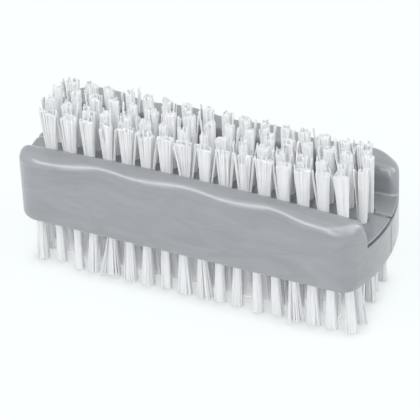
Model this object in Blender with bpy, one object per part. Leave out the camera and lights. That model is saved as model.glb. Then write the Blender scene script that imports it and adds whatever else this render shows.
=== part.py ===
"""A double-sided nail brush: one moulded handle with wavy grip rails and ten rows of nylon bristles.

Units are metres and +Z is up. The brush lies along X and stands on the tips of its lower bristles at Z = 0.
The handle is a loft of plan outlines. A channel runs its full length between two grip rails, and the upper
bristles stand on the channel's floor. Each bristle row is one node: its strands and the thin slice of backing
that holds them, let into a groove of the handle.
"""
import math
import random

import bpy
import bmesh
from mathutils import Matrix

MM = 0.001

# Handle, seen from above
HANDLE_LENGTH = 90.0 * MM
HANDLE_WIDTH = 32.2 * MM
END_RADIUS = 36.0 * MM
CORNER_RADIUS = 3.0 * MM

# Handle, seen from the side
HANDLE_HEIGHT = 19.5 * MM
FLOOR_HEIGHT = 11.4 * MM
CROWN = 1.4 * MM
UNDERSIDE_FILLET = 0.9 * MM
CREST_FILLET = 1.3 * MM
END_FILLET = 2.7 * MM

# Finger scallops of the rails, deepest at the crest and gone at the foot
SCALLOP_PERIOD = 22.3 * MM
SCALLOP_DEPTH = 1.2 * MM
SCALLOP_FOOT = 6.5 * MM
SCALLOP_WAVES = 3

# Lip along the crest, which stands proud of the wall towards both ends of the rails
LIP_PROUD = 0.85 * MM
LIP_FOOT = 2.7 * MM
LIP_START = 20.0 * MM
LIP_FULL = 30.0 * MM

# Channel between the rails, with walls that turn outwards at its two mouths
CHANNEL_TOP_WIDTH = 19.2 * MM
CHANNEL_FLOOR_WIDTH = 17.9 * MM
CHANNEL_FOOT_RADIUS = 0.8 * MM
CHANNEL_LIP_RADIUS = 2.2 * MM
CHANNEL_LIP_ANGLE = math.radians(72.0)
MOUTH_RADIUS = 2.2 * MM
MOUTH_REACH = 0.9

# Shallow line in the channel floor at each end
END_LINE_WIDTH = 0.9 * MM
END_LINE_DEPTH = 0.4 * MM
END_LINE_OFFSET = 1.2 * MM

# Bristle field
UPPER_ROWS = 4
UPPER_SIDE_MARGIN = 2.5 * MM
UPPER_PITCH = 4.91 * MM
UPPER_END_MARGIN = 5.2 * MM
UPPER_OUTER_SHIFT = -0.35 * MM
UPPER_FREE_LENGTH = 15.2 * MM
UPPER_STRANDS = 3
LOWER_ROWS = 6
LOWER_BORDER_SHARE = 1 / 6
LOWER_PITCH = 4.61 * MM
LOWER_END_MARGIN = 5.6 * MM
LOWER_FREE_LENGTH = 15.0 * MM
LOWER_STRANDS = 2

# One tuft
STRAND_RADIUS = 0.48 * MM
STRAND_TIP_RADIUS = 0.6 * MM
TUFT_ROOT_RADIUS = 0.72 * MM
TUFT_TIP_RADIUS = 1.1 * MM
TIP_SCATTER = 0.12 * MM
REST_TRIM = 0.5 * MM
STRAND_SIDES = 4
TURN_SCATTER = math.radians(14.0)

# Backing slice of a row, and the groove that it lies in
SLICE_WIDTH = 2.7 * MM
SLICE_DEPTH = 2.0 * MM
SLICE_END = 1.5 * MM
SLICE_GAP = 0.3 * MM
ROOT_BITE = 0.9 * MM

# Steps of the curved shapes
CORNER_STEPS = 5
END_STEPS = 5
SIDE_STEPS = 54
FILLET_STEPS = 3
WALL_STEPS = 4
MOUTH_STEPS = 3
CUT_OVERRUN = 3.0 * MM

PART_NAME = "nail_brush"
PEARL_GREY = (0.36, 0.39, 0.41, 1.0)
NYLON_WHITE = (0.80, 0.81, 0.83, 1.0)

HALF_LENGTH = HANDLE_LENGTH / 2
HALF_WIDTH = HANDLE_WIDTH / 2
UNDERSIDE_Z = LOWER_FREE_LENGTH
FLOOR_Z = UNDERSIDE_Z + FLOOR_HEIGHT
TOP_Z = UNDERSIDE_Z + HANDLE_HEIGHT


def clear_scene():
    for item in list(bpy.data.objects):
        bpy.data.objects.remove(item, do_unlink=True)


def new_collection(name):
    collection = bpy.data.collections.new(name)
    bpy.context.scene.collection.children.link(collection)
    return collection


def plastic(name, colour, roughness, transmission=0.0):
    material = bpy.data.materials.new(name)
    material.use_nodes = True
    shader = material.node_tree.nodes["Principled BSDF"]
    shader.inputs["Base Color"].default_value = colour
    shader.inputs["Roughness"].default_value = roughness
    shader.inputs["Metallic"].default_value = 0.0
    shader.inputs["Transmission Weight"].default_value = transmission
    return material


def object_from(bm, name, collection, material=None):
    bmesh.ops.recalc_face_normals(bm, faces=bm.faces)
    mesh = bpy.data.meshes.new(name)
    bm.to_mesh(mesh)
    bm.free()
    item = bpy.data.objects.new(name, mesh)
    collection.objects.link(item)
    if material:
        mesh.materials.append(material)
    return item


def as_cutter(item):
    item.hide_render = True
    item.display_type = "WIRE"
    return item


def boolean(target, other, operation):
    modifier = target.modifiers.new(other.name, "BOOLEAN")
    modifier.operation = operation
    modifier.solver = "EXACT"
    modifier.object = other


def smooth_step(value):
    share = min(max(value, 0.0), 1.0)
    return share * share * (3 - 2 * share)


def fillet_inset(height, total, radius):
    """How far a rounded top edge draws the outline in at this height."""
    rise = height - (total - radius)
    if rise <= 0:
        return 0.0
    return radius - math.sqrt(max(radius ** 2 - rise ** 2, 0.0))


def scallop_inset(x):
    """Depth of the grip at the crest: a cosine wave over the middle of the rail."""
    if abs(x) >= SCALLOP_PERIOD * SCALLOP_WAVES / 2:
        return 0.0
    return SCALLOP_DEPTH * (1 + math.cos(2 * math.pi * x / SCALLOP_PERIOD)) / 2


def lip_reach(x, height):
    """How far the crest stands proud of the wall: all of it near the ends, nothing at mid-length."""
    foot = HANDLE_HEIGHT - LIP_FOOT
    crest = HANDLE_HEIGHT - CREST_FILLET
    risen = smooth_step((height - foot) / (crest - foot))
    return LIP_PROUD * risen * smooth_step((abs(x) - LIP_START) / (LIP_FULL - LIP_START))


def half_outline(height):
    """Points of the plan outline on the +Y side, from the +X tip to the -X tip, at this height."""
    under = max(UNDERSIDE_FILLET - height, 0.0)
    foot_inset = UNDERSIDE_FILLET - math.sqrt(UNDERSIDE_FILLET ** 2 - under ** 2)
    end_inset = foot_inset + fillet_inset(height, HANDLE_HEIGHT, END_FILLET)
    side_inset = foot_inset + fillet_inset(height, HANDLE_HEIGHT, CREST_FILLET)
    crest = HANDLE_HEIGHT - CREST_FILLET
    grip = smooth_step((height - SCALLOP_FOOT) / (crest - SCALLOP_FOOT))
    side_y = HALF_WIDTH - side_inset
    arc_centre = HALF_LENGTH - end_inset - END_RADIUS
    corner_y = side_y + lip_reach(HALF_LENGTH, height) - CORNER_RADIUS
    corner_x = arc_centre + math.sqrt((END_RADIUS - CORNER_RADIUS) ** 2 - corner_y ** 2)
    start = math.atan2(corner_y, corner_x - arc_centre)
    points = []
    for step in range(END_STEPS):
        angle = start * step / END_STEPS
        points.append((arc_centre + END_RADIUS * math.cos(angle), END_RADIUS * math.sin(angle)))
    for step in range(CORNER_STEPS):
        angle = start + (math.pi / 2 - start) * step / CORNER_STEPS
        y = corner_y + CORNER_RADIUS * math.sin(angle)
        points.append((corner_x + CORNER_RADIUS * math.cos(angle), y))
    for step in range(SIDE_STEPS // 2):
        x = corner_x * (1 - 2 * step / SIDE_STEPS)
        points.append((x, side_y + lip_reach(x, height) - grip * scallop_inset(x)))
    middle = (0.0, side_y - grip * scallop_inset(0.0))
    mirrored = [(-x, y) for x, y in reversed(points)]
    return points + [middle] + mirrored


def crowned(x, height):
    """World height of a point: above the floor the rails sink a little towards both ends."""
    share = max(height - FLOOR_HEIGHT, 0.0) / (HANDLE_HEIGHT - FLOOR_HEIGHT)
    return UNDERSIDE_Z + height - CROWN * share * (x / HALF_LENGTH) ** 2


def loft_heights():
    """Heights of the outlines: round under edge, plain wall, scalloped wall, round crest and top."""
    heights = []
    for step in range(FILLET_STEPS):
        angle = math.pi / 2 * step / FILLET_STEPS
        heights.append(UNDERSIDE_FILLET * (1 - math.cos(angle)))
    heights.append(UNDERSIDE_FILLET)
    heights.append(SCALLOP_FOOT)
    end_start = HANDLE_HEIGHT - END_FILLET
    for step in range(1, WALL_STEPS + 1):
        heights.append(SCALLOP_FOOT + (end_start - SCALLOP_FOOT) * step / WALL_STEPS)
    crest_start = HANDLE_HEIGHT - CREST_FILLET
    heights.append((end_start + crest_start) / 2)
    heights.append(crest_start)
    for step in range(1, FILLET_STEPS + 1):
        angle = math.pi / 2 * step / FILLET_STEPS
        heights.append(crest_start + CREST_FILLET * math.sin(angle))
    return heights


def handle_blank():
    """The loft of all outlines, closed with strips across the top and the underside."""
    bm = bmesh.new()
    rings = []
    for height in loft_heights():
        half = half_outline(height)
        ring = [bm.verts.new((x, y, crowned(x, height))) for x, y in half]
        ring += [bm.verts.new((x, -y, crowned(x, height))) for x, y in reversed(half[1:-1])]
        rings.append(ring)
    count = len(rings[0])
    for low, high in zip(rings, rings[1:]):
        for k in range(count):
            after = (k + 1) % count
            bm.faces.new((low[k], low[after], high[after], high[k]))
    for ring in (rings[0], rings[-1]):
        last = count // 2
        for k in range(last):
            strip = [ring[k], ring[k + 1], ring[(count - k - 1) % count], ring[(count - k) % count]]
            bm.faces.new(list(dict.fromkeys(strip)))
    return bm


def loft_along_x(bm, sections):
    """A closed solid through outlines in YZ planes. Each section is its X and its outline."""
    rings = [[bm.verts.new((x, y, z)) for y, z in outline] for x, outline in sections]
    count = len(rings[0])
    for low, high in zip(rings, rings[1:]):
        for k in range(count):
            after = (k + 1) % count
            bm.faces.new((low[k], low[after], high[after], high[k]))
    bm.faces.new(rings[0])
    bm.faces.new(rings[-1])


def channel_sections(overrun):
    """The channel's outlines from end to end: straight, then turning outwards on an arc at each mouth."""
    mouth_y = CHANNEL_FLOOR_WIDTH / 2
    mouth_x = HALF_LENGTH - END_RADIUS + math.sqrt(END_RADIUS ** 2 - mouth_y ** 2)
    start = mouth_x - MOUTH_RADIUS
    places = []
    for step in range(MOUTH_STEPS + 1):
        angle = math.asin(MOUTH_REACH) * step / MOUTH_STEPS
        places.append((start + MOUTH_RADIUS * math.sin(angle), MOUTH_RADIUS * (1 - math.cos(angle))))
    places.append((overrun, places[-1][1]))
    right = [(x, channel_outline(flare)) for x, flare in places]
    left = [(-x, channel_outline(flare)) for x, flare in reversed(places)]
    return left + right


def channel_outline(flare):
    """Section of the channel: round foot, slightly drafted wall, and a lip that flares to the rail's top."""
    half = []
    foot_centre_y = CHANNEL_FLOOR_WIDTH / 2 + flare - CHANNEL_FOOT_RADIUS
    for step in range(FILLET_STEPS + 1):
        angle = math.pi / 2 * step / FILLET_STEPS
        y = foot_centre_y + CHANNEL_FOOT_RADIUS * math.sin(angle)
        half.append((y, FLOOR_Z + CHANNEL_FOOT_RADIUS * (1 - math.cos(angle))))
    lip_centre_y = CHANNEL_TOP_WIDTH / 2 + flare + CHANNEL_LIP_RADIUS
    lip_centre_z = TOP_Z - CHANNEL_LIP_RADIUS
    for step in range(FILLET_STEPS + 1):
        angle = CHANNEL_LIP_ANGLE * step / FILLET_STEPS
        y = lip_centre_y - CHANNEL_LIP_RADIUS * math.cos(angle)
        half.append((y, lip_centre_z + CHANNEL_LIP_RADIUS * math.sin(angle)))
    half.append((half[-1][0] + CHANNEL_LIP_RADIUS, TOP_Z + CUT_OVERRUN))
    return half + [(-y, z) for y, z in reversed(half)]


def box(bm, low, high):
    size = [b - a for a, b in zip(low, high)]
    centre = [(a + b) / 2 for a, b in zip(low, high)]
    matrix = Matrix.Translation(centre) @ Matrix.Diagonal((*size, 1))
    bmesh.ops.create_cube(bm, size=1.0, matrix=matrix)


def tuft_places(margin, pitch, fewer=0, shift=0.0):
    """Centres of a row's tufts along X, as many as fit between the end margins."""
    count = math.floor((HANDLE_LENGTH - 2 * margin) / pitch) + 1 - fewer
    first = shift - pitch * (count - 1) / 2
    return [first + pitch * k for k in range(count)]


def row_places(rows, width, margin):
    """Rows across a face: the outer two at the margin from its edges, the rest evenly between them."""
    spacing = (width - 2 * margin) / (rows - 1)
    return [spacing * (k - (rows - 1) / 2) for k in range(rows)]


def bristle_rows():
    """Every row: its name, its Y, its tufts, and whether it points up."""
    rows = []
    upper_places = row_places(UPPER_ROWS, CHANNEL_FLOOR_WIDTH, UPPER_SIDE_MARGIN)
    lower_places = row_places(LOWER_ROWS, HANDLE_WIDTH, LOWER_BORDER_SHARE * HANDLE_WIDTH)
    for number, y in enumerate(upper_places, start=1):
        tufts = tuft_places(UPPER_END_MARGIN, UPPER_PITCH)
        if number in (1, UPPER_ROWS):
            tufts = tuft_places(UPPER_END_MARGIN, UPPER_PITCH, fewer=1, shift=UPPER_OUTER_SHIFT)
        rows.append((f"upper_bristle_row_{number}", y, tufts, True))
    for number, y in enumerate(lower_places, start=1):
        tufts = tuft_places(LOWER_END_MARGIN, LOWER_PITCH)
        rows.append((f"lower_bristle_row_{number}", y, tufts, False))
    return rows


def slice_box(bm, y, tufts, upward, gap, overrun):
    """The backing slice of a row, or with a gap and an overrun the groove that it lies in."""
    left = tufts[0] - SLICE_END - gap
    right = tufts[-1] + SLICE_END + gap
    side = SLICE_WIDTH / 2 + gap
    if upward:
        low_z, high_z = FLOOR_Z - SLICE_DEPTH - gap, FLOOR_Z + overrun
    else:
        low_z, high_z = UNDERSIDE_Z - overrun, UNDERSIDE_Z + SLICE_DEPTH + gap
    box(bm, (left, y - side, low_z), (right, y + side, high_z))


def strand(bm, root, tip, turn):
    """One straight strand with level ends, from its root in the slice to its tip."""
    rise = tip[2] - root[2]
    lean = Matrix.Identity(4)
    lean[0][2] = (tip[0] - root[0]) / rise
    lean[1][2] = (tip[1] - root[1]) / rise
    centre = [(a + b) / 2 for a, b in zip(root, tip)]
    matrix = Matrix.Translation(centre) @ lean @ Matrix.Rotation(turn, 4, "Z")
    low_radius, high_radius = STRAND_RADIUS, STRAND_TIP_RADIUS
    if rise < 0:
        low_radius, high_radius = high_radius, low_radius
    bmesh.ops.create_cone(bm, cap_ends=True, segments=STRAND_SIDES, radius1=low_radius,
                          radius2=high_radius, depth=abs(rise), matrix=matrix)


def tuft(bm, x, y, upward, chance):
    """The strands of one tuft, spread evenly round its centre and splayed towards their tips."""
    count = UPPER_STRANDS if upward else LOWER_STRANDS
    if upward:
        root_z, tip_z = FLOOR_Z - ROOT_BITE, FLOOR_Z + UPPER_FREE_LENGTH
    else:
        root_z, tip_z = UNDERSIDE_Z + ROOT_BITE, -REST_TRIM
    first = chance.uniform(0, 2 * math.pi)
    for k in range(count):
        angle = first + 2 * math.pi * k / count
        spread = angle + chance.uniform(-TURN_SCATTER, TURN_SCATTER)
        root = (x + TUFT_ROOT_RADIUS * math.cos(angle), y + TUFT_ROOT_RADIUS * math.sin(angle), root_z)
        tip_x = x + TUFT_TIP_RADIUS * math.cos(spread)
        tip_y = y + TUFT_TIP_RADIUS * math.sin(spread)
        scatter = [chance.uniform(-TIP_SCATTER, TIP_SCATTER) for _ in range(2)]
        strand(bm, root, (tip_x + scatter[0], tip_y + scatter[1], tip_z), angle)


def trim_level(bm):
    """Cuts the lower strands flat where the brush rests."""
    everything = bm.verts[:] + bm.edges[:] + bm.faces[:]
    bmesh.ops.bisect_plane(bm, geom=everything, plane_co=(0, 0, 0), plane_no=(0, 0, -1), clear_outer=True)
    rim = [edge for edge in bm.edges if edge.is_boundary]
    bmesh.ops.holes_fill(bm, edges=rim)


def make_row(name, y, tufts, upward, chance, parts, helpers, material):
    body = bmesh.new()
    slice_box(body, y, tufts, upward, 0.0, 0.0)
    row = object_from(body, name, parts, material)
    strands = bmesh.new()
    for x in tufts:
        tuft(strands, x, y, upward, chance)
    if not upward:
        trim_level(strands)
    joined = as_cutter(object_from(strands, f"{name}_strands", helpers))
    boolean(row, joined, "UNION")
    return row


def make_handle(parts, helpers, material):
    handle = object_from(handle_blank(), "handle", parts, material)
    channel = bmesh.new()
    overrun = HALF_LENGTH + CUT_OVERRUN
    loft_along_x(channel, channel_sections(overrun))
    boolean(handle, as_cutter(object_from(channel, "channel_cut", helpers)), "DIFFERENCE")
    grooves = bmesh.new()
    for _, y, tufts, upward in bristle_rows():
        slice_box(grooves, y, tufts, upward, SLICE_GAP, CUT_OVERRUN)
    boolean(handle, as_cutter(object_from(grooves, "groove_cut", helpers)), "DIFFERENCE")
    lines = bmesh.new()
    inner_end = tuft_places(UPPER_END_MARGIN, UPPER_PITCH)[-1] + SLICE_END + SLICE_GAP
    for side in (-1, 1):
        ends = sorted((side * (inner_end + END_LINE_WIDTH), side * overrun))
        low = (ends[0], END_LINE_OFFSET - END_LINE_WIDTH / 2, FLOOR_Z - END_LINE_DEPTH)
        high = (ends[1], END_LINE_OFFSET + END_LINE_WIDTH / 2, FLOOR_Z + CUT_OVERRUN)
        box(lines, low, high)
    boolean(handle, as_cutter(object_from(lines, "end_line_cut", helpers)), "DIFFERENCE")
    return handle


def build():
    clear_scene()
    parts = new_collection(PART_NAME)
    helpers = new_collection(f"{PART_NAME}_cutters")
    pearl = plastic("pearl_grey_plastic", PEARL_GREY, 0.32)
    nylon = plastic("white_nylon", NYLON_WHITE, 0.45)
    make_handle(parts, helpers, pearl)
    chance = random.Random(5)
    for name, y, tufts, upward in bristle_rows():
        make_row(name, y, tufts, upward, chance, parts, helpers, nylon)


build()
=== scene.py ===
"""Looks of the double-sided nail brush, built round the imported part.

The handle is one smooth skin: its shape is a signed distance field, and a net of quads is drawn tight over
it. Every tuft is a bundle of separate nylon filaments. Lengths are in millimetres unless a comment says
otherwise, and Z is measured from the surface that the brush stands on.
"""
import itertools
import math
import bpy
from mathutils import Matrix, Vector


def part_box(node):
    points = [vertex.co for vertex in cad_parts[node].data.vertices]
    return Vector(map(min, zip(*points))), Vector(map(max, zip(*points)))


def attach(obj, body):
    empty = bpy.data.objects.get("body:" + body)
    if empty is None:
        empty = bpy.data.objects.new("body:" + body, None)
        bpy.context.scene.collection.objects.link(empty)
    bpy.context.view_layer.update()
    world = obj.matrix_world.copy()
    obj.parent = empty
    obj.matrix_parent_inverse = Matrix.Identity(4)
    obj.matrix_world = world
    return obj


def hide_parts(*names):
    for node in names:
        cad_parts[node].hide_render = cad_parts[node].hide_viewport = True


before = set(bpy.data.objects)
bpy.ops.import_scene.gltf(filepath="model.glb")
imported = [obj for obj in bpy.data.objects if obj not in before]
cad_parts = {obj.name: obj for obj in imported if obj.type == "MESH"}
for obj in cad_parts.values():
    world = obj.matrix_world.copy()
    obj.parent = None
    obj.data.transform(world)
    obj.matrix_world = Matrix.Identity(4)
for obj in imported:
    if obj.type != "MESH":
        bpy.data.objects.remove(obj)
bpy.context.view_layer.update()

from types import SimpleNamespace

import bpy
import numpy as np
from mathutils import Matrix, Vector

MM = 0.001


def box_mm(node):
    """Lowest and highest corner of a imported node."""
    return [np.array(corner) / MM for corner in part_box(node)]


# Handle, seen from above
HANDLE_LOW, HANDLE_HIGH = box_mm("handle")
HALF_LENGTH = HANDLE_HIGH[0]
LIP_PROUD = 0.85
WALL_HALF = HANDLE_HIGH[1] - LIP_PROUD
END_RADIUS = 36.0
CORNER_RADIUS, CREST_CORNER_RADIUS = 2.9, 5.0

# Handle, seen from the side. The crest of the rails is lower at the ends, by the crown
UNDERSIDE = HANDLE_LOW[2]
TOP = HANDLE_HIGH[2]
FLOOR_HEIGHT = 11.4
FLOOR = UNDERSIDE + FLOOR_HEIGHT
CROWN = 1.4
UNDERSIDE_FILLET = 0.9
CREST_FILLET = 1.7
END_FILLET = 2.7
END_FILLET_START, END_FILLET_FULL = 35.5, 42.0

# Finger scallops of the rails, and the lip that stands proud of the wall towards both ends. The lip's foot
# and crest are depths below the top
SCALLOP_PERIOD = 22.3
SCALLOP_DEPTH = 1.2
SCALLOP_REACH = 1.5 * SCALLOP_PERIOD
SCALLOP_FOOT_HEIGHT = 6.5
LIP_FOOT, LIP_CREST = 2.7, 1.6
LIP_START, LIP_FULL = 20.0, 30.0

# Channel between the rails, with walls that turn outwards at its mouths. The edge of the rails grows rounder
# over these shares of the walls' height, and a mouth's wall turns through this share of its radius
CHANNEL_FLOOR_HALF = 8.95
CHANNEL_TOP_HALF = 9.6
CHANNEL_FOOT_RADIUS = 0.6
CHANNEL_LIP_RADIUS = 2.4
CHANNEL_EDGE_RADIUS = 0.2
CHANNEL_LIP_SHARES = (0.1, 0.6)
MOUTH_RADIUS = 2.2
MOUTH_SHARE = 0.9

# Narrow groove in the right end face, just under the rim of the channel floor
RIM_GROOVE_DROP = 0.95
RIM_GROOVE_HALF = 0.6
RIM_GROOVE_DEPTH = 1.2
RIM_GROOVE_ROUND = 0.15

# Shallow line in the channel floor, from the last tufts to each end, and a fine seam down the end face below
# it. The line is shallower at the left end, whose outline is unbroken in the photograph
END_LINE_Y = 1.3
END_LINE_HALF = 0.3
END_LINE_DEPTH, LEFT_LINE_DEPTH = 0.5, 0.2
END_LINE_START = 40.6
END_LINE_ROUND = 0.3
END_SEAM_HALF, END_SEAM_DEPTH = 0.25, 0.12

# Grid that the handle's skin is drawn on, with finer steps near the ends, the end line and the floor
X_STEP, Y_STEP, Z_STEP = 0.47, 0.4, 0.35
END_STEP, END_STEP_START = 0.22, 43.0
LINE_STEP = 0.13
FLOOR_STEP, FLOOR_STEP_BELOW, FLOOR_STEP_ABOVE = 0.18, 2.0, 0.4
FINE_MARGIN = 0.5

# How the skin is drawn tight: in so many rounds, with the slope measured this far to each side of a point,
# and no move in a round longer than this. The two least values keep a division from nearly zero
TIGHT_ROUNDS = 4
SLOPE_PROBE = 0.02
LONGEST_MOVE = 0.2
LEAST_SLOPE_SQUARED, LEAST_MOVE = 0.05, 1e-9

# Blind holes that the tufts stand in. Beyond all of them is a distance longer than the brush
HOLE_RADIUS = 1.25
HOLE_DEPTH = 1.3
HOLE_RIM = 0.22
BEYOND = 1e3

# The two tuft fields: rows across the brush, and tufts along each row, that stand up or hang down from this
# level. The outer upper rows have one tuft fewer. The radii are a filament's at its foot and at its tip, and
# the foot is a tuft's half width and half depth at the bottom of its hole. The shares are what the shading
# normals take from the single filament, the tuft and the direction of the cut ends
ROW_SPACING = 4.3
UPPER = SimpleNamespace(
    side="upper", upward=1, level=FLOOR,
    pitch=4.91, counts=(16, 17, 17, 16), shifts=(-0.35, 0.0, 0.0, -0.35),
    filaments=90, radii=(0.15, 0.22), foot=(1.03, 0.6), shares=(0.12, 0.18, 0.55),
)
LOWER = SimpleNamespace(
    side="lower", upward=-1, level=UNDERSIDE,
    pitch=4.61, counts=(18,) * 6, shifts=(0.0,) * 6,
    filaments=70, radii=(0.12, 0.17), foot=(0.85, 0.6), shares=(0.3, 0.2, 0.0),
)

# One tuft: filaments of a few sides and rings, spread over a disc that is drawn out towards a square, and
# gathered in clumps. The jitters, the clumps' reach and the wing's place are shares of the disc's radius.
# Strays end this far from their place, at random
FILAMENT_SIDES = 4
FILAMENT_RINGS = 4
CLUMPS = 7
SQUARENESS = 0.8
FILAMENT_JITTER, CLUMP_JITTER = 0.03, 0.12
CLUMP_REACH = 0.8
WING_START, WING_HALF = 0.8, 0.7
STRAY_REACH = 1.1

# Cut ends: how ragged the single filaments and the clumps of an upper tuft are, how far its cut slopes, how
# deep its notch may be, and the few filaments that stand up as spikes. The lower tufts are cut almost level
END_RAGGED, CLUMP_RAGGED = 0.09, 0.5
CUT_SLOPE = 0.25
DEEPEST_NOTCH = 1.6
SPIKE_SHARE, TALLEST_SPIKE = 0.07, 0.9
LEVEL_RAGGED = 0.07

# Forms of the upper tufts: how far they lean, their half width and half depth at the tips, and how much these
# vary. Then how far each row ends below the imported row's top, how far a wing stands off, how closely the
# clumps gather, how loose the filaments are, what share of them strays, and how late they bend
UPPER_LEAN_VARIES = (0.22, 0.18)
UPPER_SPREAD, UPPER_SPREAD_VARIES = 1.3, 0.25
UPPER_DEPTH, UPPER_DEPTH_VARIES = 0.95, 0.1
UPPER_DROPS = (0.75, 0.6, 0.15, 0.15)
UPPER_WINGS = (0.9, 1.5)
UPPER_GATHERS = (0.05, 0.2)
UPPER_LOOSENESS = 0.04
UPPER_STRAYS = 0.012
UPPER_BENDS = (1.0, 1.1)

# Forms of the lower tufts. They turn wild as their spread grows from the first of these spreads to the
# second. Each pair after it is what a calm tuft has, and what a wild one adds to it
LOWER_LEAN_VARIES = (0.45, 0.3)
LOWER_SPREAD, LOWER_SPREAD_VARIES, LEAST_SPREAD = 1.35, 0.35, 0.9
LOWER_BENDS = (1.0, 1.25)
WILD_SPREADS = (1.6, 2.2)
WILD_DEPTH = (0.85, 0.3)
WILD_GATHER = (0.1, 0.35)
WILD_LOOSENESS = (0.04, 0.1)
WILD_STRAYS = (0.01, 0.05)

# How far the tufts of the near rows lean along X and spread to each side, and how far a few of their
# filaments stand off to one side, all read from the photograph left to right
UPPER_NEAR_LEANS = (-0.3, -0.1, -0.2, -0.2, 0.1, 0.3, 0.1, -0.1,
                    0.3, -0.15, 0.0, 0.3, -0.1, -0.2, -0.2, -0.7)
UPPER_NEAR_SPREADS = (2.2, 2.0, 1.7, 1.6, 1.9, 2.0, 1.9, 2.2,
                      1.9, 1.8, 2.2, 2.2, 1.8, 2.1, 1.7, 1.8)
UPPER_NEAR_WINGS = (0.0, -1.2, 0.0, 1.2, 1.2, 1.2, 0.0, 1.2,
                    1.3, 1.2, 1.0, 0.0, -1.0, 0.0, -1.0, 0.0)
LOWER_NEAR_LEANS = (-0.7, -0.3, 0.3, -0.9, -0.6, -0.2, -0.3, -0.3, 0.1,
                    0.6, -0.2, -0.5, 0.5, 0.5, 0.4, 0.3, 0.2, 0.4)
LOWER_NEAR_SPREADS = (1.7, 1.1, 0.9, 1.4, 2.3, 1.5, 1.5, 1.3, 1.9,
                      2.1, 1.3, 1.3, 1.2, 1.5, 2.2, 1.7, 1.4, 1.3)
RANDOM_SEED = 7

# Noise in the pearl, with its scales per metre: swirls drawn out along the brush, and much finer flakes.
# Within its range the noise leads evenly from one shade, or one roughness, to the other
SWIRL_STRETCH = (0.35, 1.0, 1.2)
SWIRL_SCALE, SWIRL_DETAIL, SWIRL_ROUGHNESS, SWIRL_DISTORTION = 190.0, 3.0, 0.55, 1.2
SWIRL_RANGE = (0.30, 0.72)
FLAKE_SCALE, FLAKE_DETAIL = 5200.0, 1.0
FLAKE_RANGE, PEARL_ROUGHNESS = (0.3, 0.7), (0.30, 0.42)

# Colours, in linear red, green and blue
PEARL_DARK, PEARL_LIGHT = (0.280, 0.284, 0.304), (0.330, 0.335, 0.358)
NYLON_WHITE = (0.872, 0.868, 0.885)
FLOOR_WHITE = (0.88, 0.90, 0.90)
FLOOR_SHADE = (0.13, 0.13, 0.13)
FLOOR_GLOW = (0.957, 1.0, 1.0)
WORLD_LIT, WORLD_SHOWN = (0.93, 1.0, 1.0), (0.96, 1.0, 1.0)
WORLD_POWER = 0.45
WHITE = (1.0, 1.0, 1.0)

# The floor, a light panel in it that brightens the inner rows, and the painted soft shadow where the brush
# meets it: how far it reaches, and what share of open sky gives which glow. Metres
GROUND_SIZE = (6.0, 6.0)
PANEL_SIZE, PANEL_HEIGHT, PANEL_LIGHT = (0.076, 0.018), 2e-5, 0.8
CONTACT_REACH, CONTACT_SAMPLES = 0.0055, 16
OPEN_SHARES, GLOWS = (0.45, 0.95), (0.57, 0.866)

# Lamps: azimuth, elevation and distance from the brush, width and height, power and colour. In degrees,
# metres and watts
LAMPS = {
    "key": (-28, 47, 1.0, (1.6, 0.5), 6.1, WHITE),
    "front": (12, 8, 1.2, (1.0, 1.0), 3.0, (1.0, 0.965, 0.99)),
    "side": (95, 48, 1.2, (1.0, 1.0), 3.8, WHITE),
    "rim": (118, 28, 1.0, (0.25, 0.7), 1.3, WHITE),
    "top": (20, 75, 1.0, (0.9, 0.9), 1.5, (0.88, 1.0, 1.0)),
}

# Camera, found by fitting the handle's edges in the photograph. Angles are in degrees, the distance and the
# clipping range in metres, the sensor in millimetres, and the focal length and centre in pixels of the frame
FRAME_SIDE = 420
CAMERA_AZIMUTH, CAMERA_ELEVATION, CAMERA_ROLL = 24.840, 37.218, -2.473
CAMERA_DISTANCE = 0.7081
FOCAL_PIXELS = 3002.8
CENTRE_X, CENTRE_Y = 210.282, 217.680
SENSOR = 36.0
CLIP_START, CLIP_END = 0.01, 20.0


def smooth_step(value, start=0.0, full=1.0):
    """0 up to start, 1 from full on, and a soft slope between them."""
    share = np.clip((value - start) / (full - start), 0, 1)
    return share * share * (3 - 2 * share)


def between(share, low, high):
    """The value at this share of the way from low to high."""
    return low + (high - low) * share


def round_meet(a, b, radius):
    """Intersection of two distance fields, with its edge rounded to this radius."""
    corner = np.hypot(np.maximum(a + radius, 0), np.maximum(b + radius, 0))
    return np.minimum(np.maximum(a, b), -radius) + corner


def carved(body, cutter, radius):
    """The body without the cutter's shape, with the edge of the cut rounded to this radius."""
    return round_meet(body, -cutter, radius)


def crown_drop(x):
    """How much lower the top is at this place than at mid-length."""
    return CROWN * (x / HALF_LENGTH) ** 2


def scallop_inset(x):
    """Depth of the grip at the crest: a cosine wave over the middle of the rail."""
    wave = (1 + np.cos(2 * math.pi * x / SCALLOP_PERIOD)) / 2
    return np.where(np.abs(x) < SCALLOP_REACH, SCALLOP_DEPTH * wave, 0.0)


def wall_reach(x, z):
    """Half the handle's width at this place, with the scallops and the lip along the crest."""
    grip = smooth_step(z, UNDERSIDE + SCALLOP_FOOT_HEIGHT, TOP - CREST_FILLET)
    crest = smooth_step(z + crown_drop(x), TOP - LIP_FOOT, TOP - LIP_CREST)
    lip = crest * smooth_step(np.abs(x), LIP_START, LIP_FULL)
    return WALL_HALF + LIP_PROUD * lip - grip * scallop_inset(x)


def mouth_flare(along):
    """How far the channel's walls have turned outwards at this distance from mid-length."""
    mouth = HALF_LENGTH - END_RADIUS + math.sqrt(END_RADIUS ** 2 - CHANNEL_FLOOR_HALF ** 2)
    share = np.clip((along - mouth) / MOUTH_RADIUS + 1, 0, MOUTH_SHARE)
    return MOUTH_RADIUS * (1 - np.sqrt(1 - share ** 2))


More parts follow.
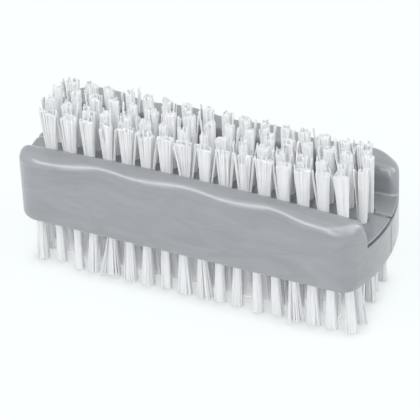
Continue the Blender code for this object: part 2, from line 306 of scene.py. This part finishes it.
def outer_field(x, y, z, end):
    """The handle without its channel, lines and holes. end is the field of its two round end faces."""
    side = np.abs(y) - wall_reach(x, z)
    high = smooth_step(z, TOP - CROWN - LIP_FOOT, TOP - CROWN)
    plan = round_meet(side, end, between(high, CORNER_RADIUS, CREST_CORNER_RADIUS))
    top = z - TOP + crown_drop(x)
    near_end = smooth_step(np.abs(x), END_FILLET_START, END_FILLET_FULL)
    body = round_meet(plan, top, between(near_end, CREST_FILLET, END_FILLET))
    return round_meet(body, UNDERSIDE - z, UNDERSIDE_FILLET)


def channel_field(across, z, rise, flare):
    """The channel between the rails, which widens with its rise and flares at its mouths."""
    side = across - CHANNEL_FLOOR_HALF - (CHANNEL_TOP_HALF - CHANNEL_FLOOR_HALF) * rise - flare
    return round_meet(side, FLOOR - z, CHANNEL_FOOT_RADIUS)


def end_line_field(x, y, z):
    """The shallow line in the channel floor."""
    line = np.maximum(np.abs(y - END_LINE_Y) - END_LINE_HALF, END_LINE_START - np.abs(x))
    return np.maximum(line, FLOOR - np.where(x > 0, END_LINE_DEPTH, LEFT_LINE_DEPTH) - z)


def end_seam_field(y, end):
    """The fine seam down the end faces."""
    return np.maximum(np.abs(y - END_LINE_Y) - END_SEAM_HALF, -end - END_SEAM_DEPTH)


def rim_groove_field(x, across, z, end, flare):
    """The groove under the rim of the channel floor, in the right end face only."""
    groove = np.maximum(np.abs(z - FLOOR + RIM_GROOVE_DROP) - RIM_GROOVE_HALF, -end - RIM_GROOVE_DEPTH)
    groove = np.maximum(groove, across - CHANNEL_FLOOR_HALF - flare)
    return np.maximum(groove, -x)


def row_places(count):
    """Y of each row, spread evenly about the middle."""
    return [ROW_SPACING * (k - (count - 1) / 2) for k in range(count)]


def hole_field(x, y, z, tufts):
    """The blind holes of a tuft field, which go into the handle from the tufts' level."""
    nearest = np.full(np.broadcast(x, y, z).shape, BEYOND)
    for row_y, count, shift in zip(row_places(len(tufts.counts)), tufts.counts, tufts.shifts):
        first = shift - tufts.pitch * (count - 1) / 2
        centre = np.clip(np.round((x - first) / tufts.pitch), 0, count - 1) * tufts.pitch + first
        nearest = np.minimum(nearest, np.hypot(x - centre, y - row_y))
    depth = (tufts.level - z) * tufts.upward
    return np.maximum(nearest - HOLE_RADIUS, depth - HOLE_DEPTH)


def handle_field(x, y, z):
    """Signed distance to the handle's surface, negative inside."""
    across = np.abs(y)
    end = np.hypot(np.abs(x) - (HALF_LENGTH - END_RADIUS), y) - END_RADIUS
    rise = np.clip((z - FLOOR) / (TOP - FLOOR), 0, 1)
    flare = mouth_flare(np.abs(x))
    lip = between(smooth_step(rise, *CHANNEL_LIP_SHARES), CHANNEL_EDGE_RADIUS, CHANNEL_LIP_RADIUS)
    body = carved(outer_field(x, y, z, end), channel_field(across, z, rise, flare), lip)
    body = carved(body, end_line_field(x, y, z), END_LINE_ROUND)
    body = carved(body, end_seam_field(y, end), END_SEAM_DEPTH)
    body = carved(body, rim_groove_field(x, across, z, end, flare), RIM_GROOVE_ROUND)
    for tufts in (UPPER, LOWER):
        body = carved(body, hole_field(x, y, z, tufts), HOLE_RIM)
    return body


def ticks(low, high, step, fine):
    """Grid planes from a little outside low to a little outside high.

    Each fine stretch is a start, an end and a smaller step of its own.
    """
    planes = [low - 2 * step]
    while planes[-1] < high + 2 * step:
        near = [own for start, end, own in fine if start - own < planes[-1] < end]
        planes.append(planes[-1] + min(near, default=step))
    return np.array(planes)


def cell_points(values, axes):
    """For each grid cell, the sum of the places where the surface cuts its edges, and how many they are."""
    cells = [n - 1 for n in values.shape]
    total = np.zeros((*cells, 3))
    hits = np.zeros(cells)
    for axis in range(3):
        low = np.take(values, range(cells[axis]), axis)
        high = np.take(values, range(1, cells[axis] + 1), axis)
        cut = (low < 0) != (high < 0)
        share = np.where(cut, low / np.where(cut, low - high, 1), 0)
        others = [k for k in range(3) if k != axis]
        # A cell has four edges along this axis, one for each pair of offsets
        for offsets in itertools.product((0, 1), repeat=2):
            edge = [slice(None)] * 3
            for other, offset in zip(others, offsets):
                edge[other] = slice(offset, offset + cells[other])
            here = cut[tuple(edge)]
            hits += here
            for k in range(3):
                line = [1, 1, 1]
                line[k] = -1
                place = axes[k][edge[k]].reshape(line)
                if k == axis:
                    place = axes[k][:-1].reshape(line) + share[tuple(edge)] * np.diff(axes[k]).reshape(line)
                total[..., k] += here * place
    return total, hits


def surface_net(field, axes):
    """Quads over a field's surface: a point in each crossed cell, and a face round each crossed edge."""
    values = field(*np.meshgrid(*axes, indexing="ij", sparse=True))
    total, hits = cell_points(values, axes)
    crossed = hits > 0
    number = np.full(hits.shape, -1)
    number[crossed] = np.arange(crossed.sum())
    points = total[crossed] / hits[crossed][:, None]
    inside = values < 0
    faces = []
    for axis in range(3):
        low = np.take(inside, range(values.shape[axis] - 1), axis)
        high = np.take(inside, range(1, values.shape[axis]), axis)
        edges = np.argwhere(low != high)
        outward = low[tuple(edges.T)]
        others = [(axis + 1) % 3, (axis + 2) % 3]
        corners = []
        for offsets in ((-1, -1), (0, -1), (0, 0), (-1, 0)):
            cell = edges.copy()
            cell[:, others] += offsets
            corners.append(number[tuple(cell.T)])
        quads = np.stack(corners, axis=1)
        quads[~outward] = quads[~outward][:, ::-1]
        faces.append(quads)
    return points, np.concatenate(faces)


def pulled_tight(field, points):
    """Moves points onto the field's surface, along its slope."""
    for _ in range(TIGHT_ROUNDS):
        slope = np.empty_like(points)
        for k, probe in enumerate(np.eye(3) * SLOPE_PROBE):
            slope[:, k] = (field(*(points + probe).T) - field(*(points - probe).T)) / (2 * SLOPE_PROBE)
        size = np.maximum((slope ** 2).sum(1), LEAST_SLOPE_SQUARED)
        move = (field(*points.T) / size)[:, None] * slope
        length = np.linalg.norm(move, axis=1, keepdims=True)
        points = points - move * np.minimum(1, LONGEST_MOVE / np.maximum(length, LEAST_MOVE))
    return points


def mesh_piece(name, points, faces, material, normals=None):
    """A smooth object from points and faces of one size, with its own shading normals if given."""
    mesh = bpy.data.meshes.new(name)
    mesh.vertices.add(len(points))
    mesh.vertices.foreach_set("co", (points * MM).astype(np.float32).ravel())
    sides = faces.shape[1]
    mesh.loops.add(faces.size)
    mesh.loops.foreach_set("vertex_index", faces.astype(np.int32).ravel())
    mesh.polygons.add(len(faces))
    mesh.polygons.foreach_set("loop_start", np.arange(0, faces.size, sides, dtype=np.int32))
    mesh.update(calc_edges=True)
    mesh.polygons.foreach_set("use_smooth", np.ones(len(faces), bool))
    mesh.validate()
    if normals is not None:
        mesh.normals_split_custom_set_from_vertices(normals)
    piece = bpy.data.objects.new(name, mesh)
    bpy.context.scene.collection.objects.link(piece)
    mesh.materials.append(material)
    return piece


def make_handle(material):
    """The handle's skin, on a grid that is finer where its forms are small."""
    outside = HALF_LENGTH + FINE_MARGIN
    ends = [(-outside, -END_STEP_START, END_STEP), (END_STEP_START, outside, END_STEP)]
    line = [(END_LINE_Y - FINE_MARGIN, END_LINE_Y + FINE_MARGIN, LINE_STEP)]
    rim = [(FLOOR - FLOOR_STEP_BELOW, FLOOR + FLOOR_STEP_ABOVE, FLOOR_STEP)]
    axes = [
        ticks(-HALF_LENGTH, HALF_LENGTH, X_STEP, ends),
        ticks(HANDLE_LOW[1], HANDLE_HIGH[1], Y_STEP, line),
        ticks(UNDERSIDE, TOP, Z_STEP, rim),
    ]
    points, faces = surface_net(handle_field, axes)
    return mesh_piece("pearl_handle", pulled_tight(handle_field, points), faces, material)


def sunflower(count, chance, jitter):
    """Points spread evenly over the unit disc, like the seeds of a sunflower."""
    order = np.arange(count)
    around = order * math.pi * (3 - math.sqrt(5)) + chance.uniform(0, 2 * math.pi)
    out = np.sqrt((order + 0.5) / count)
    return np.stack([out * np.cos(around), out * np.sin(around)], 1) + chance.normal(0, jitter, (count, 2))


def squared(disc):
    """The unit disc drawn out towards a square, for the flat sides of a folded tuft."""
    around = np.arctan2(disc[:, 1], disc[:, 0])
    reach = 1 / np.maximum(np.abs(np.cos(around)), np.abs(np.sin(around)))
    return disc * (1 + SQUARENESS * (reach - 1))[:, None]


def ragged_ends(disc, clump, chance):
    """How far the filaments of an upper tuft end below its top: level, but ragged clump by clump."""
    short = np.abs(chance.normal(0, END_RAGGED, len(disc)))
    short += np.abs(chance.normal(0, CLUMP_RAGGED, CLUMPS))[clump]
    short += chance.uniform(-CUT_SLOPE, CUT_SLOPE) * disc[:, 0]
    notch = int(chance.integers(CLUMPS))
    short += chance.uniform(0.0, DEEPEST_NOTCH) * (clump == notch)
    spike = chance.random(len(disc)) < SPIKE_SHARE
    short[spike] = chance.uniform(-TALLEST_SPIKE, 0.0, spike.sum())
    return short


def level_ends(disc, chance):
    """How far the filaments of a lower tuft end short of the surface that the brush stands on."""
    return np.abs(chance.normal(0, LEVEL_RAGGED, len(disc)))


def tuft_rings(place, tufts, form, length, chance):
    """The rings' centres of one tuft's filaments, as rings by filaments by XYZ, and the filaments' disc."""
    disc = sunflower(tufts.filaments, chance, FILAMENT_JITTER)
    centres = sunflower(CLUMPS, chance, CLUMP_JITTER) * CLUMP_REACH
    clump = np.linalg.norm(disc[:, None] - centres, axis=2).argmin(1)
    flat = squared(disc)
    gathered = flat + form.gather * (centres[clump] - flat)
    tip = gathered * (form.spread, form.depth)
    tip += chance.normal(0, form.loose, tip.shape) + chance.normal(0, form.loose, (CLUMPS, 2))[clump]
    wing = (disc[:, 0] * np.sign(form.wing) > WING_START) & (np.abs(disc[:, 1]) < WING_HALF)
    tip[wing, 0] += form.wing
    stray = chance.random(len(disc)) < form.strays
    tip[stray] += chance.normal(0, STRAY_REACH, (stray.sum(), 2))
    tip += form.lean
    base = disc * tufts.foot
    short = ragged_ends(disc, clump, chance) if tufts is UPPER else level_ends(disc, chance)
    ends = np.minimum(length - form.drop - short, length)
    rings = np.empty((FILAMENT_RINGS, len(disc), 3))
    for number, share in enumerate(np.linspace(0, 1, FILAMENT_RINGS)):
        rings[number, :, :2] = place + base + (tip - base) * share ** form.bend
        rings[number, :, 2] = tufts.level + tufts.upward * (share * (ends + HOLE_DEPTH) - HOLE_DEPTH)
    return rings, disc


def filament_mesh(bundles, tufts, chance):
    """Points, quads and shading normals of a row's filaments: rings of a few points, with a cap at each end.

    The normals are a mean of the single filament's, the tuft's and the direction of the cut ends, because
    light enters at the ends and spreads sideways from one translucent filament to the next.
    """
    centres = np.concatenate([rings for rings, disc in bundles], axis=1).transpose(1, 0, 2)
    outward = np.concatenate([disc for rings, disc in bundles])
    count = len(centres)
    turn = chance.uniform(0, 2 * math.pi, (count, 1, 1))
    angle = turn + np.arange(FILAMENT_SIDES) * 2 * math.pi / FILAMENT_SIDES
    around = np.stack(np.broadcast_arrays(np.cos(angle), np.sin(angle), 0 * angle), -1)
    radius = np.linspace(*tufts.radii, FILAMENT_RINGS).reshape(1, -1, 1, 1)
    points = centres[:, :, None] + around * radius
    start = np.arange(count)[:, None] * FILAMENT_RINGS * FILAMENT_SIDES
    ring = np.arange(FILAMENT_RINGS - 1).reshape(1, -1, 1) * FILAMENT_SIDES
    k = np.arange(FILAMENT_SIDES)
    low, low_after = start[:, None] + ring + k, start[:, None] + ring + (k + 1) % FILAMENT_SIDES
    sides = np.stack([low, low_after, low_after + FILAMENT_SIDES, low + FILAMENT_SIDES], -1).reshape(-1, 4)
    bottom = start + k[::-1]
    top = start + (FILAMENT_RINGS - 1) * FILAMENT_SIDES + k
    # The faces of a tuft that hangs down are turned over, so that they still face outwards
    faces = np.concatenate([sides, bottom, top])[:, ::tufts.upward]
    tube_share, tuft_share, end_share = tufts.shares
    normals = tube_share * around + np.zeros_like(points)
    normals[..., :2] += tuft_share * outward[:, None, None]
    normals[..., 2] += end_share
    normals /= np.linalg.norm(normals, axis=-1, keepdims=True)
    return points.reshape(-1, 3), faces, normals.reshape(-1, 3)


def upper_form(row, k, chance):
    """Shape of one upper tuft. The near row, number 1, follows the photograph."""
    lean = chance.normal(0, UPPER_LEAN_VARIES)
    spread = UPPER_SPREAD + chance.normal(0, UPPER_SPREAD_VARIES)
    wing = chance.choice((-1, 0, 1)) * chance.uniform(*UPPER_WINGS)
    if row == 1:
        lean[0], spread, wing = UPPER_NEAR_LEANS[k], UPPER_NEAR_SPREADS[k], UPPER_NEAR_WINGS[k]
    depth = UPPER_DEPTH + chance.normal(0, UPPER_DEPTH_VARIES)
    gather = chance.uniform(*UPPER_GATHERS)
    bend = chance.uniform(*UPPER_BENDS)
    return SimpleNamespace(lean=lean, spread=spread, depth=depth, drop=UPPER_DROPS[row - 1], gather=gather,
                           loose=UPPER_LOOSENESS, wing=wing, strays=UPPER_STRAYS, bend=bend)


def lower_form(row, k, chance):
    """Shape of one lower tuft. The near row, number 1, follows the photograph."""
    lean = chance.normal(0, LOWER_LEAN_VARIES)
    spread = max(LOWER_SPREAD + chance.normal(0, LOWER_SPREAD_VARIES), LEAST_SPREAD)
    if row == 1:
        lean[0], spread = LOWER_NEAR_LEANS[k], LOWER_NEAR_SPREADS[k]
    wild = smooth_step(spread, *WILD_SPREADS)
    pairs = (WILD_DEPTH, WILD_GATHER, WILD_LOOSENESS, WILD_STRAYS)
    depth, gather, loose, strays = [calm + added * wild for calm, added in pairs]
    return SimpleNamespace(lean=lean, spread=spread, depth=depth, drop=0.0, gather=gather,
                           loose=loose, wing=0.0, strays=strays, bend=chance.uniform(*LOWER_BENDS))


def make_row(tufts, number, chance, material):
    """One row of tufts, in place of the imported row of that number, and no longer than it."""
    node = f"{tufts.side}_bristle_row_{number}"
    low, high = box_mm(node)
    length = abs((high if tufts is UPPER else low)[2] - tufts.level)
    y = row_places(len(tufts.counts))[number - 1]
    count, shift = tufts.counts[number - 1], tufts.shifts[number - 1]
    form_of = upper_form if tufts is UPPER else lower_form
    bundles = []
    for k in range(count):
        x = shift + tufts.pitch * (k - (count - 1) / 2)
        bundles.append(tuft_rings((x, y), tufts, form_of(number, k, chance), length, chance))
    points, faces, normals = filament_mesh(bundles, tufts, chance)
    piece = mesh_piece(f"nylon_{node}", points, faces, material, normals)
    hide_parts(node)
    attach(piece, "root")


def new_material(name):
    """A material, its node tree and its shader."""
    material = bpy.data.materials.new(name)
    material.use_nodes = True
    tree = material.node_tree
    return material, tree, tree.nodes["Principled BSDF"]


def link(tree, source, target):
    """Leads one node's output into another's input."""
    tree.links.new(source, target)


def set_inputs(node, values):
    """Sets a node's inputs, found by their names, to these values."""
    for name, value in values.items():
        node.inputs[name].default_value = value


def add_node(tree, kind, inputs=None, **settings):
    """A node of this kind, with values for some of its inputs and settings."""
    node = tree.nodes.new(kind)
    set_inputs(node, inputs or {})
    for key, value in settings.items():
        setattr(node, key, value)
    return node


def noise(tree, where, scale, detail, roughness=0.5, distortion=0.0):
    """Soft noise, from 0 to 1, at the place that where gives."""
    inputs = {"Scale": scale, "Detail": detail, "Roughness": roughness, "Distortion": distortion}
    node = add_node(tree, "ShaderNodeTexNoise", inputs)
    link(tree, where, node.inputs["Vector"])
    return node.outputs["Fac"]


def mapped(tree, source, start, target):
    """The source's values, moved evenly from the start range to the target range."""
    inputs = {"From Min": start[0], "From Max": start[1], "To Min": target[0], "To Max": target[1]}
    node = add_node(tree, "ShaderNodeMapRange", inputs)
    link(tree, source, node.inputs["Value"])
    return node.outputs["Result"]


def pearl_plastic():
    """Silver-grey pearl plastic: faint flow swirls, tiny flakes that break its gloss, and a clear coat."""
    material, tree, shader = new_material("pearl_plastic")
    place = add_node(tree, "ShaderNodeTexCoord").outputs["Object"]
    stretch = add_node(tree, "ShaderNodeMapping", {"Scale": SWIRL_STRETCH})
    link(tree, place, stretch.inputs["Vector"])
    drawn_out = stretch.outputs["Vector"]
    swirl = noise(tree, drawn_out, SWIRL_SCALE, SWIRL_DETAIL, SWIRL_ROUGHNESS, SWIRL_DISTORTION)
    colour = add_node(tree, "ShaderNodeValToRGB")
    dark, light = colour.color_ramp.elements
    dark.position, light.position = SWIRL_RANGE
    dark.color, light.color = (*PEARL_DARK, 1), (*PEARL_LIGHT, 1)
    link(tree, swirl, colour.inputs["Fac"])
    link(tree, colour.outputs["Color"], shader.inputs["Base Color"])
    flake = noise(tree, place, FLAKE_SCALE, FLAKE_DETAIL)
    link(tree, mapped(tree, flake, FLAKE_RANGE, PEARL_ROUGHNESS), shader.inputs["Roughness"])
    set_inputs(shader, {"Metallic": 0.25, "Coat Weight": 0.8, "Coat Roughness": 0.16})
    return material


def nylon():
    """White nylon filament: bright, with a soft sheen."""
    material, tree, shader = new_material("nylon")
    set_inputs(shader, {"Base Color": (*NYLON_WHITE, 1), "Roughness": 0.5})
    set_inputs(shader, {"Sheen Weight": 0.3, "Sheen Roughness": 0.6})
    return material


def seen_directly(tree):
    """1 for rays from the camera and for mirrored and transmitted ones, which show the background white."""
    rays = add_node(tree, "ShaderNodeLightPath")
    total = rays.outputs["Is Camera Ray"]
    for name in ("Is Glossy Ray", "Is Transmission Ray"):
        larger = add_node(tree, "ShaderNodeMath", operation="MAXIMUM")
        link(tree, total, larger.inputs[0])
        link(tree, rays.outputs[name], larger.inputs[1])
        total = larger.outputs[0]
    return total


def light_and_show(tree, lighting, shown, output):
    """Gives the output one shader that lights the object, and another for where it is seen directly."""
    pick = add_node(tree, "ShaderNodeMixShader")
    link(tree, seen_directly(tree), pick.inputs["Fac"])
    link(tree, lighting, pick.inputs[1])
    link(tree, shown, pick.inputs[2])
    link(tree, pick.outputs["Shader"], tree.nodes[output].inputs["Surface"])


def pale_floor(name, light):
    """A pale floor that stays white to the eye and in reflections, and keeps the object's shadow.

    light is how strongly it lights the object by itself.
    """
    material, tree, shader = new_material(name)
    set_inputs(shader, {"Base Color": (*FLOOR_WHITE, 1), "Roughness": 0.9})
    set_inputs(shader, {"Emission Color": (*WHITE, 1), "Emission Strength": light})
    shade = add_node(tree, "ShaderNodeBsdfDiffuse", {"Color": (*FLOOR_SHADE, 1)})
    glow = add_node(tree, "ShaderNodeEmission", {"Color": (*FLOOR_GLOW, 1)})
    # Painted contact shadow: the glow dims where ambient occlusion finds little open sky, near the brush
    reach = {"Distance": CONTACT_REACH}
    painted_contact_shadow = add_node(tree, "ShaderNodeAmbientOcclusion", reach, samples=CONTACT_SAMPLES)
    link(tree, mapped(tree, painted_contact_shadow.outputs["AO"], OPEN_SHARES, GLOWS), glow.inputs["Strength"])
    both = add_node(tree, "ShaderNodeAddShader")
    link(tree, shade.outputs["BSDF"], both.inputs[0])
    link(tree, glow.outputs["Emission"], both.inputs[1])
    light_and_show(tree, shader.outputs["BSDF"], both.outputs["Shader"], "Material Output")
    return material


def make_ground(name, size, height, light):
    """A flat part of the pale floor. Metres."""
    bpy.ops.mesh.primitive_plane_add(size=1.0, location=(0, 0, height))
    plane = bpy.context.object
    plane.name = name
    plane.scale = (*size, 1)
    plane.data.materials.append(pale_floor(f"pale_{name}", light))


def make_world():
    """A world that lights the object a little, and looks white behind it."""
    world = bpy.data.worlds.new("studio")
    bpy.context.scene.world = world
    world.use_nodes = True
    tree = world.node_tree
    lit = tree.nodes["Background"]
    set_inputs(lit, {"Color": (*WORLD_LIT, 1), "Strength": WORLD_POWER})
    white = add_node(tree, "ShaderNodeBackground", {"Color": (*WORLD_SHOWN, 1), "Strength": 1.0})
    light_and_show(tree, lit.outputs["Background"], white.outputs["Background"], "World Output")


def direction_from(azimuth, elevation):
    """Unit vector from the brush towards a viewer or a lamp. Azimuth 0 is in front, and 90 is at +X."""
    a, e = math.radians(azimuth), math.radians(elevation)
    return Vector((math.sin(a) * math.cos(e), -math.cos(a) * math.cos(e), math.sin(e)))


def area_light(name, azimuth, elevation, distance, size, power, colour):
    """A soft light that looks at the brush from this side."""
    light = bpy.data.lights.new(name, "AREA")
    light.shape = "RECTANGLE"
    light.size, light.size_y = size
    light.energy = power
    light.color = colour
    lamp = bpy.data.objects.new(name, light)
    bpy.context.scene.collection.objects.link(lamp)
    aim = Vector((0, 0, UNDERSIDE * MM))
    lamp.location = aim + direction_from(azimuth, elevation) * distance
    lamp.rotation_euler = (lamp.location - aim).to_track_quat("Z", "Y").to_euler()


def make_camera():
    """A pinhole camera that looks at the middle of the handle's underside."""
    data = bpy.data.cameras.new("camera")
    camera = bpy.data.objects.new("camera", data)
    bpy.context.scene.collection.objects.link(camera)
    data.sensor_width = SENSOR
    data.lens = FOCAL_PIXELS / FRAME_SIDE * SENSOR
    data.shift_x = (FRAME_SIDE / 2 - CENTRE_X) / FRAME_SIDE
    data.shift_y = (CENTRE_Y - FRAME_SIDE / 2) / FRAME_SIDE
    data.clip_start, data.clip_end = CLIP_START, CLIP_END
    back = direction_from(CAMERA_AZIMUTH, CAMERA_ELEVATION)
    right = Vector((0, 0, 1)).cross(back).normalized()
    up = back.cross(right)
    roll = math.radians(CAMERA_ROLL)
    rolled_right = math.cos(roll) * right + math.sin(roll) * up
    rolled_up = math.cos(roll) * up - math.sin(roll) * right
    turn = Matrix((rolled_right, rolled_up, back)).transposed().to_4x4()
    place = Vector((0, 0, UNDERSIDE * MM)) + back * CAMERA_DISTANCE
    camera.matrix_world = Matrix.Translation(place) @ turn
    bpy.context.scene.camera = camera


def build():
    """The camera, the pale studio, the handle and the rows of tufts."""
    make_camera()
    make_world()
    make_ground("floor", GROUND_SIZE, height=0.0, light=0.0)
    make_ground("panel", PANEL_SIZE, PANEL_HEIGHT, PANEL_LIGHT)
    for name, values in LAMPS.items():
        area_light(name, *values)
    handle = make_handle(pearl_plastic())
    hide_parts("handle")
    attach(handle, "root")
    white = nylon()
    chance = np.random.default_rng(RANDOM_SEED)
    for tufts in (UPPER, LOWER):
        for number in range(1, len(tufts.counts) + 1):
            make_row(tufts, number, chance, white)
    bpy.context.scene.view_settings.view_transform = "Standard"


def write_size():
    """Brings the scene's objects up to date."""
    bpy.context.view_layer.update()


build()
write_size()
